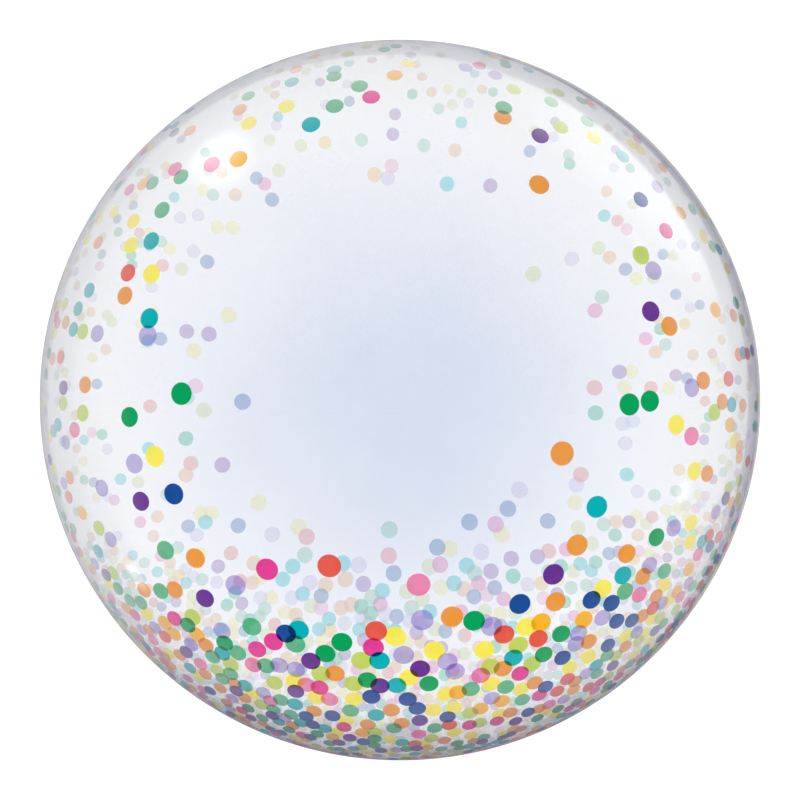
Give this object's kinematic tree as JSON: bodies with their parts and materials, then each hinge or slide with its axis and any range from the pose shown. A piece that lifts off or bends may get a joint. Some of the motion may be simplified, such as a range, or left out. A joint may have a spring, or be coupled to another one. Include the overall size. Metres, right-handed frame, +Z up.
{
  "type": "clear bubble balloon",
  "caption": "Clear round bubble balloon of stretched film, printed with small confetti dots that drift together at the bottom, with a short flat filling tail.",
  "frame": {"origin": "centre of the flat spot that the ball stands on, below the ball's centre", "axes": "+Z up through the ball's centre; -Y out of the front, where one clear window is; +Y the way the filling tail lies on the ground; +X to the right seen from the front"},
  "size_m": [0.56, 0.56, 0.5584],
  "materials": {
    "film": "clear stretched film, high gloss, with a faint lavender-blue cast, printed with translucent confetti dots in full and half-tint inks"
  },
  "bodies": {
    "root": {"balloon": "film"}
  },
  "joints": []
}
